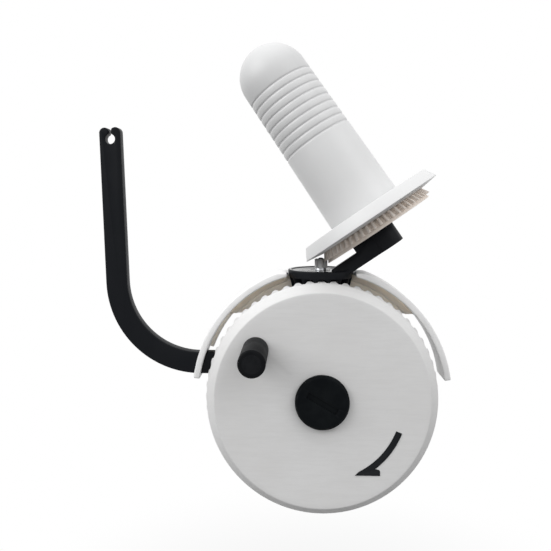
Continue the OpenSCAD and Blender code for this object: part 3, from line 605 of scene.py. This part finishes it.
def build_knob():
    knob = turned("crank_knob_piece", rounded([
        (HEAD_R, KNOB_TIP), (KNOB_R - KNOB_EASE, KNOB_TIP, 0.3), (KNOB_R, KNOB_TIP + KNOB_EASE, 0.4),
        (KNOB_R, KNOB_BASE - KNOB_EASE, 0.4), (KNOB_R - KNOB_EASE, KNOB_BASE, 0.3), (KNOB_BORE_R, KNOB_BASE),
        (KNOB_BORE_R, KNOB_TIP + HEAD_DEPTH), (HEAD_R, KNOB_TIP + HEAD_DEPTH),
    ]), knob_place)
    finish_edges(knob, 0, smooth=36.0)
    dress(knob, "crank_knob", knob_black)
    cap = turned("knob_end_cap_piece", [
        (0, KNOB_TIP), (END_CAP_R, KNOB_TIP), (END_CAP_R, KNOB_TIP + END_CAP_H), (0, KNOB_TIP + END_CAP_H),
    ], knob_place, closed=False)
    finish_edges(cap, 0, smooth=36.0)
    dress(cap, "knob_end_cap", knob_black)


build_cap()
build_knob()


# Spool: domed core with grip grooves, dished flange and the toothed ring under it

RING_TEETH = 57
SUN_LOBES = 5
MESH_DROP = 81.5
SUN_CONE = math.atan(math.sin(lean) / (RING_TEETH / SUN_LOBES + math.cos(lean)))
RING_CONE = lean - SUN_CONE
RING_BELOW = 2.45
RING_H = 7.5
RING_ADDENDUM = 0.9
RING_LOW = -MESH_DROP / math.cos(SUN_CONE) * math.cos(RING_CONE) - RING_BELOW
RING_TOP = RING_LOW + RING_H
RIM_AT = RING_TOP + 1.8
FLANGE_R = 54.5
FLANGE_H = 8.2
FLANGE_SLOPE = 5.0
FLANGE_TOP = RIM_AT + FLANGE_H + 0.6
CORE_BASE_R = 26.8
CORE_TOP_R = 25.2
CORE_WALL = 2.4
CORE_TIP = 84.6
DOME_AT = CORE_TIP - CORE_TOP_R
GROOVES = 9
GROOVE_FROM = 4.2
GROOVE_PITCH = 5.8
GROOVE_W = 2.6
GROOVE_DEPTH = 0.6
GROOVE_STEPS = 8


def core_r(s):
    """The core's radius at a height along the spool's axis."""
    return CORE_BASE_R + (CORE_TOP_R - CORE_BASE_R) * (s - FLANGE_TOP) / (DOME_AT - FLANGE_TOP)


def arc(radius, centre, start, end, steps):
    """Points of a bow about a point on the axis, in degrees from level."""
    turns = [math.radians(start + (end - start) * i / steps) for i in range(steps + 1)]
    return [(radius * math.cos(a), centre + radius * math.sin(a)) for a in turns]


def build_core():
    outside = [(CORE_BASE_R, FLANGE_TOP)]
    for i in range(GROOVES):
        s = GROOVE_FROM + i * GROOVE_PITCH
        for k in range(GROOVE_STEPS + 1):
            t = (k / GROOVE_STEPS - 0.5) * GROOVE_W
            sink = GROOVE_DEPTH * (0.5 + 0.5 * math.cos(math.tau * t / GROOVE_W))
            outside.append((core_r(s + t) - sink, s + t))
    dome = arc(CORE_TOP_R, DOME_AT, 0, 90, 20)
    inside = arc(CORE_TOP_R - CORE_WALL, DOME_AT, 90, 0, 14)
    inside.append((CORE_BASE_R - CORE_WALL, FLANGE_TOP))
    core = turned("spool_core_piece", outside + dome + inside, spool_place, steps=144)
    finish_edges(core, 0, smooth=50.0)
    dress(core, "spool_core", spool_white)


SPOOL_BORE_R = 6.05
SPOOL_HUB_R = 9.05
SPOOL_HUB_LOW = RING_LOW - 0.2
SPOOL_HUB_TOP = RIM_AT + 60
FLANGE_FLOOR = FLANGE_TOP - 2.4
RING_SEAT_W = 3.5
SPIGOT_R = CORE_BASE_R - CORE_WALL - 0.1
SPIGOT_IN = SPIGOT_R - 2
SPIGOT_TOP = FLANGE_TOP + 8


def ring_pitch_r(s):
    """The ring's pitch radius at a height along the spool's axis."""
    return -s * math.tan(RING_CONE)


def build_flange():
    seat_out = ring_pitch_r(RING_TOP) + RING_ADDENDUM / math.cos(RING_CONE) + 1
    seat_in = seat_out - RING_SEAT_W
    flange = turned("spool_flange_piece", rounded([
        (SPOOL_BORE_R, SPOOL_HUB_LOW), (SPOOL_HUB_R, SPOOL_HUB_LOW, 0.3), (SPOOL_HUB_R, FLANGE_FLOOR, 1.0),
        (seat_in, FLANGE_FLOOR, 1.0), (seat_in, RING_TOP), (seat_out, RING_TOP, 0.3),
        (FLANGE_R - 0.2, RIM_AT, 0.35), (FLANGE_R - FLANGE_SLOPE, RIM_AT + FLANGE_H, 1.2),
        (CORE_BASE_R, FLANGE_TOP), (SPIGOT_R, FLANGE_TOP), (SPIGOT_R, SPIGOT_TOP, 0.5),
        (SPIGOT_IN, SPIGOT_TOP, 0.5), (SPIGOT_IN, FLANGE_TOP), (SPOOL_HUB_R, FLANGE_TOP, 0.6),
        (SPOOL_HUB_R, SPOOL_HUB_TOP, 0.5), (SPOOL_BORE_R, SPOOL_HUB_TOP),
    ]), spool_place, steps=160)
    finish_edges(flange, 0, smooth=34.0)
    dress(flange, "spool_flange", flange_white)


build_core()
build_flange()
# The toothed ring takes the cream tone of painted shade
dress(eased_copy("spool_gear", 0.22, angle=34.0), "spool_gear", ring_shaded_cream)


# Rotor: the black bevel gear with its glossy top and sloping arm

GLOSS_R = 23.0


def build_rotor():
    rotor = eased_copy("rotor", 0.3, angle=34.0)
    dress(rotor, "rotor", rotor_black, rotor_gloss)
    centre = Vector(joints["rotor_spin"]["pos_m"])
    for face in rotor.data.polygons:
        off = face.center - centre
        if face.normal.z > 0.97 and math.hypot(off.x, off.y) < GLOSS_R * MM:
            face.material_index = 1


build_rotor()


# Guards over the teeth: a white arch, its recessed back plate tinted tan as painted warm shade

SHADED_TAN_DEPTH = 7.2


def build_guard(node):
    guard = eased_copy(node, 1.0, segments=3, angle=34.0)
    dress(guard, node, guard_white, guard_shaded_tan)
    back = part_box(node)[1].y
    # Front-facing faces near the back of the guard, recessed under the arch, get the tan finish: painted warm
    # shade
    for face in guard.data.polygons:
        if face.center.y > back - SHADED_TAN_DEPTH * MM and face.normal.y < -0.3:
            face.material_index = 1


build_guard("guard_left")
build_guard("guard_right")


# Guide arm: one bent bar, its edges well rounded

dress(eased_copy("guide_arm", 1.0, segments=3, weld=0.05), "guide_arm", arm_black)


# Clamp screw: a two-start thread, cut off square at both ends

THREAD_LEAD = 5.0
CREST_R = 5.0
ROOT_R = 4.15
THREAD_STEPS = 48


def thread_outline():
    """One lead of the thread, two teeth, as points of radius and height."""
    half = THREAD_LEAD / 2
    tooth = [
        (ROOT_R, 0), (ROOT_R, 0.35), (CREST_R - 0.1, 1.05), (CREST_R, 1.2), (CREST_R, 1.65),
        (CREST_R - 0.1, 1.8),
    ]
    return tooth + [(r, h + half) for r, h in tooth] + [(ROOT_R, THREAD_LEAD)]


def build_thread():
    low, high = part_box("clamp_screw")
    middle = (low + high) / 2
    screw = drawn("clamp_screw_piece", thread_outline())
    done()
    winding = screw.modifiers.new("thread", "SCREW")
    winding.screw_offset = THREAD_LEAD * MM
    winding.iterations = math.ceil((high.z - low.z) / (THREAD_LEAD * MM)) + 2
    winding.steps = THREAD_STEPS
    winding.render_steps = THREAD_STEPS
    winding.use_merge_vertices = True
    winding.merge_threshold = WELD * MM
    bpy.ops.object.modifier_apply(modifier=winding.name)
    fix_place(screw, Matrix.Translation((middle.x, middle.y, low.z - 1.3 * THREAD_LEAD * MM)))
    for height, outward in ((low.z, -1), (high.z, 1)):
        edit(screw)
        bpy.ops.mesh.bisect(
            plane_co=(0, 0, height), plane_no=(0, 0, outward), use_fill=True, clear_outer=True)
        done()
    edit(screw)
    bpy.ops.mesh.normals_make_consistent(inside=False)
    done()
    finish_edges(screw, 0, smooth=32.0)
    dress(screw, "clamp_screw", post_steel)


build_thread()


# The remaining pieces keep the shape of their solids, with eased edges

dress(eased_copy("main_frame", 1.0, segments=3, merge_flats=False), "main_frame", frame_white)

for node, width, finish in (
    ("table_pad", 0.5, pad_rubber),
    ("guard_screws", 0.35, axle_steel),
    ("axle_stud", 0.4, axle_steel),
    ("axle_washer", 0.12, axle_steel),
    ("rotor_post", 0.3, post_steel),
    ("post_nut", 0.5, post_steel),
    # The sun pinion takes the brighter guard white to offset the shade under the flange: painted light
    ("sun_pinion", 0.2, guard_white),
    ("sun_screw", 0.15, post_steel),
    ("axle_bush", 0.3, bearing_bronze),
    ("direction_arrow", 0.12, arrow_black),
    ("crank_pin", 0.4, axle_steel),
    ("rotor_bush", 0.3, rotor_gloss),
    ("spool_axle", 0.4, post_steel),
    ("thrust_washer", 0.15, bearing_bronze),
    ("axle_retainer", 0.2, post_steel),
    ("spool_bush", 0.3, bearing_bronze),
    ("clamp_nut", 0.5, bearing_bronze),
    ("clamp_pad", 0.4, knob_black),
    ("clamp_knob", 0.6, knob_black),
):
    dress(eased_copy(node, width), node, finish)


# Studio: white sweep, soft light and the camera at the photograph's place

FRAME_PX = 551
FOCAL_PX = 660
SENSOR = 36.0
CENTRE_ROW = 215
CAMERA_AT = (-0.0163, -0.5145, 0.1588)
CAMERA_TILT = 1.1
CAMERA_TURN = 1.95
LIT_POINT = Vector((0, -0.04, 0.12))
FLOOR_GAP = 0.12
WHITE = (1, 1, 1, 1)


def add_camera():
    lens = bpy.data.cameras.new("front_view")
    lens.sensor_width = SENSOR
    lens.lens = SENSOR * FOCAL_PX / FRAME_PX
    lens.shift_y = (CENTRE_ROW - FRAME_PX / 2) / FRAME_PX
    camera = bpy.data.objects.new("front_view", lens)
    bpy.context.scene.collection.objects.link(camera)
    camera.location = CAMERA_AT
    camera.rotation_euler = (math.radians(90 - CAMERA_TILT), 0, math.radians(CAMERA_TURN))
    bpy.context.scene.camera = camera


def add_softbox(name, place, size, power):
    """A round soft lamp that looks at the middle of the object."""
    lamp = bpy.data.lights.new(name, "AREA")
    lamp.shape = "DISK"
    lamp.size = size
    lamp.energy = power
    box = bpy.data.objects.new(name, lamp)
    bpy.context.scene.collection.objects.link(box)
    box.location = place
    box.rotation_euler = (LIT_POINT - Vector(place)).to_track_quat("-Z", "Y").to_euler()


def seen_mask(tree):
    """One where a camera, mirror or glass ray looks, zero where light is gathered."""
    path = put(tree, "ShaderNodeLightPath")
    either = put(tree, "ShaderNodeMath", operation="MAXIMUM")
    seen = put(tree, "ShaderNodeMath", operation="MAXIMUM")
    wire(tree, (path, "Is Camera Ray", either, 0), (path, "Is Glossy Ray", either, 1),
         (either, "Value", seen, 0), (path, "Is Transmission Ray", seen, 1))
    return seen


def add_world(below, above):
    """White to look at; as light, soft and stronger from above."""
    world = bpy.data.worlds.new("white_sweep")
    bpy.context.scene.world = world
    world.use_nodes = True
    tree = world.node_tree
    sky = tree.nodes["Background"]
    preset(sky, {"Color": WHITE})
    place = put(tree, "ShaderNodeTexCoord")
    split = put(tree, "ShaderNodeSeparateXYZ")
    level = spread_of(tree, from_min=-0.5, from_max=0.8, to_min=below, to_max=above)
    white = put(tree, "ShaderNodeBackground", {"Color": WHITE, "Strength": 1.0})
    mix = put(tree, "ShaderNodeMixShader")
    wire(tree, (place, "Generated", split, "Vector"), (split, "Z", level, "Value"),
         (level, "Result", sky, "Strength"), (seen_mask(tree), "Value", mix, "Fac"),
         (sky, "Background", mix, 1), (white, "Background", mix, 2),
         (mix, "Shader", tree.nodes["World Output"], "Surface"))


def add_floor(height):
    """A pale floor that holds the shadow near the object and runs out to white."""
    deselect_all()
    bpy.ops.mesh.primitive_plane_add(size=12, location=(0, 0, height))
    floor = bpy.context.object
    floor.name = "floor"
    finish, tree, shader = new_finish("floor_white")
    preset(shader, {"Base Color": (0.12, 0.12, 0.12, 1), "Roughness": 0.9})
    glow = put(tree, "ShaderNodeEmission")
    place = put(tree, "ShaderNodeTexCoord")
    reach = put(tree, "ShaderNodeVectorMath", operation="LENGTH")
    fade = spread_of(tree, from_min=0.05, from_max=0.32, to_min=0.88, to_max=1.0)
    fade.interpolation_type = "SMOOTHSTEP"
    share = put(tree, "ShaderNodeMath", operation="MULTIPLY")
    mix = put(tree, "ShaderNodeMixShader")
    wire(tree, (place, "Object", reach, 0), (reach, "Value", fade, "Value"),
         (seen_mask(tree), "Value", share, 0), (fade, "Result", share, 1), (share, "Value", mix, "Fac"),
         (shader, "BSDF", mix, 1), (glow, "Emission", mix, 2),
         (mix, "Shader", tree.nodes["Material Output"], "Surface"))
    floor.data.materials.append(finish)


bpy.context.scene.view_settings.view_transform = "Standard"
add_camera()
add_world(below=0.0, above=1.21)
add_softbox("key_light", (0.75, -0.6, 0.9), size=0.8, power=2.5)
add_softbox("left_light", (-1.0, -0.6, 0.75), size=1.0, power=7.1)
add_floor(solid_box[0][2] - FLOOR_GAP)

bpy.context.view_layer.update()
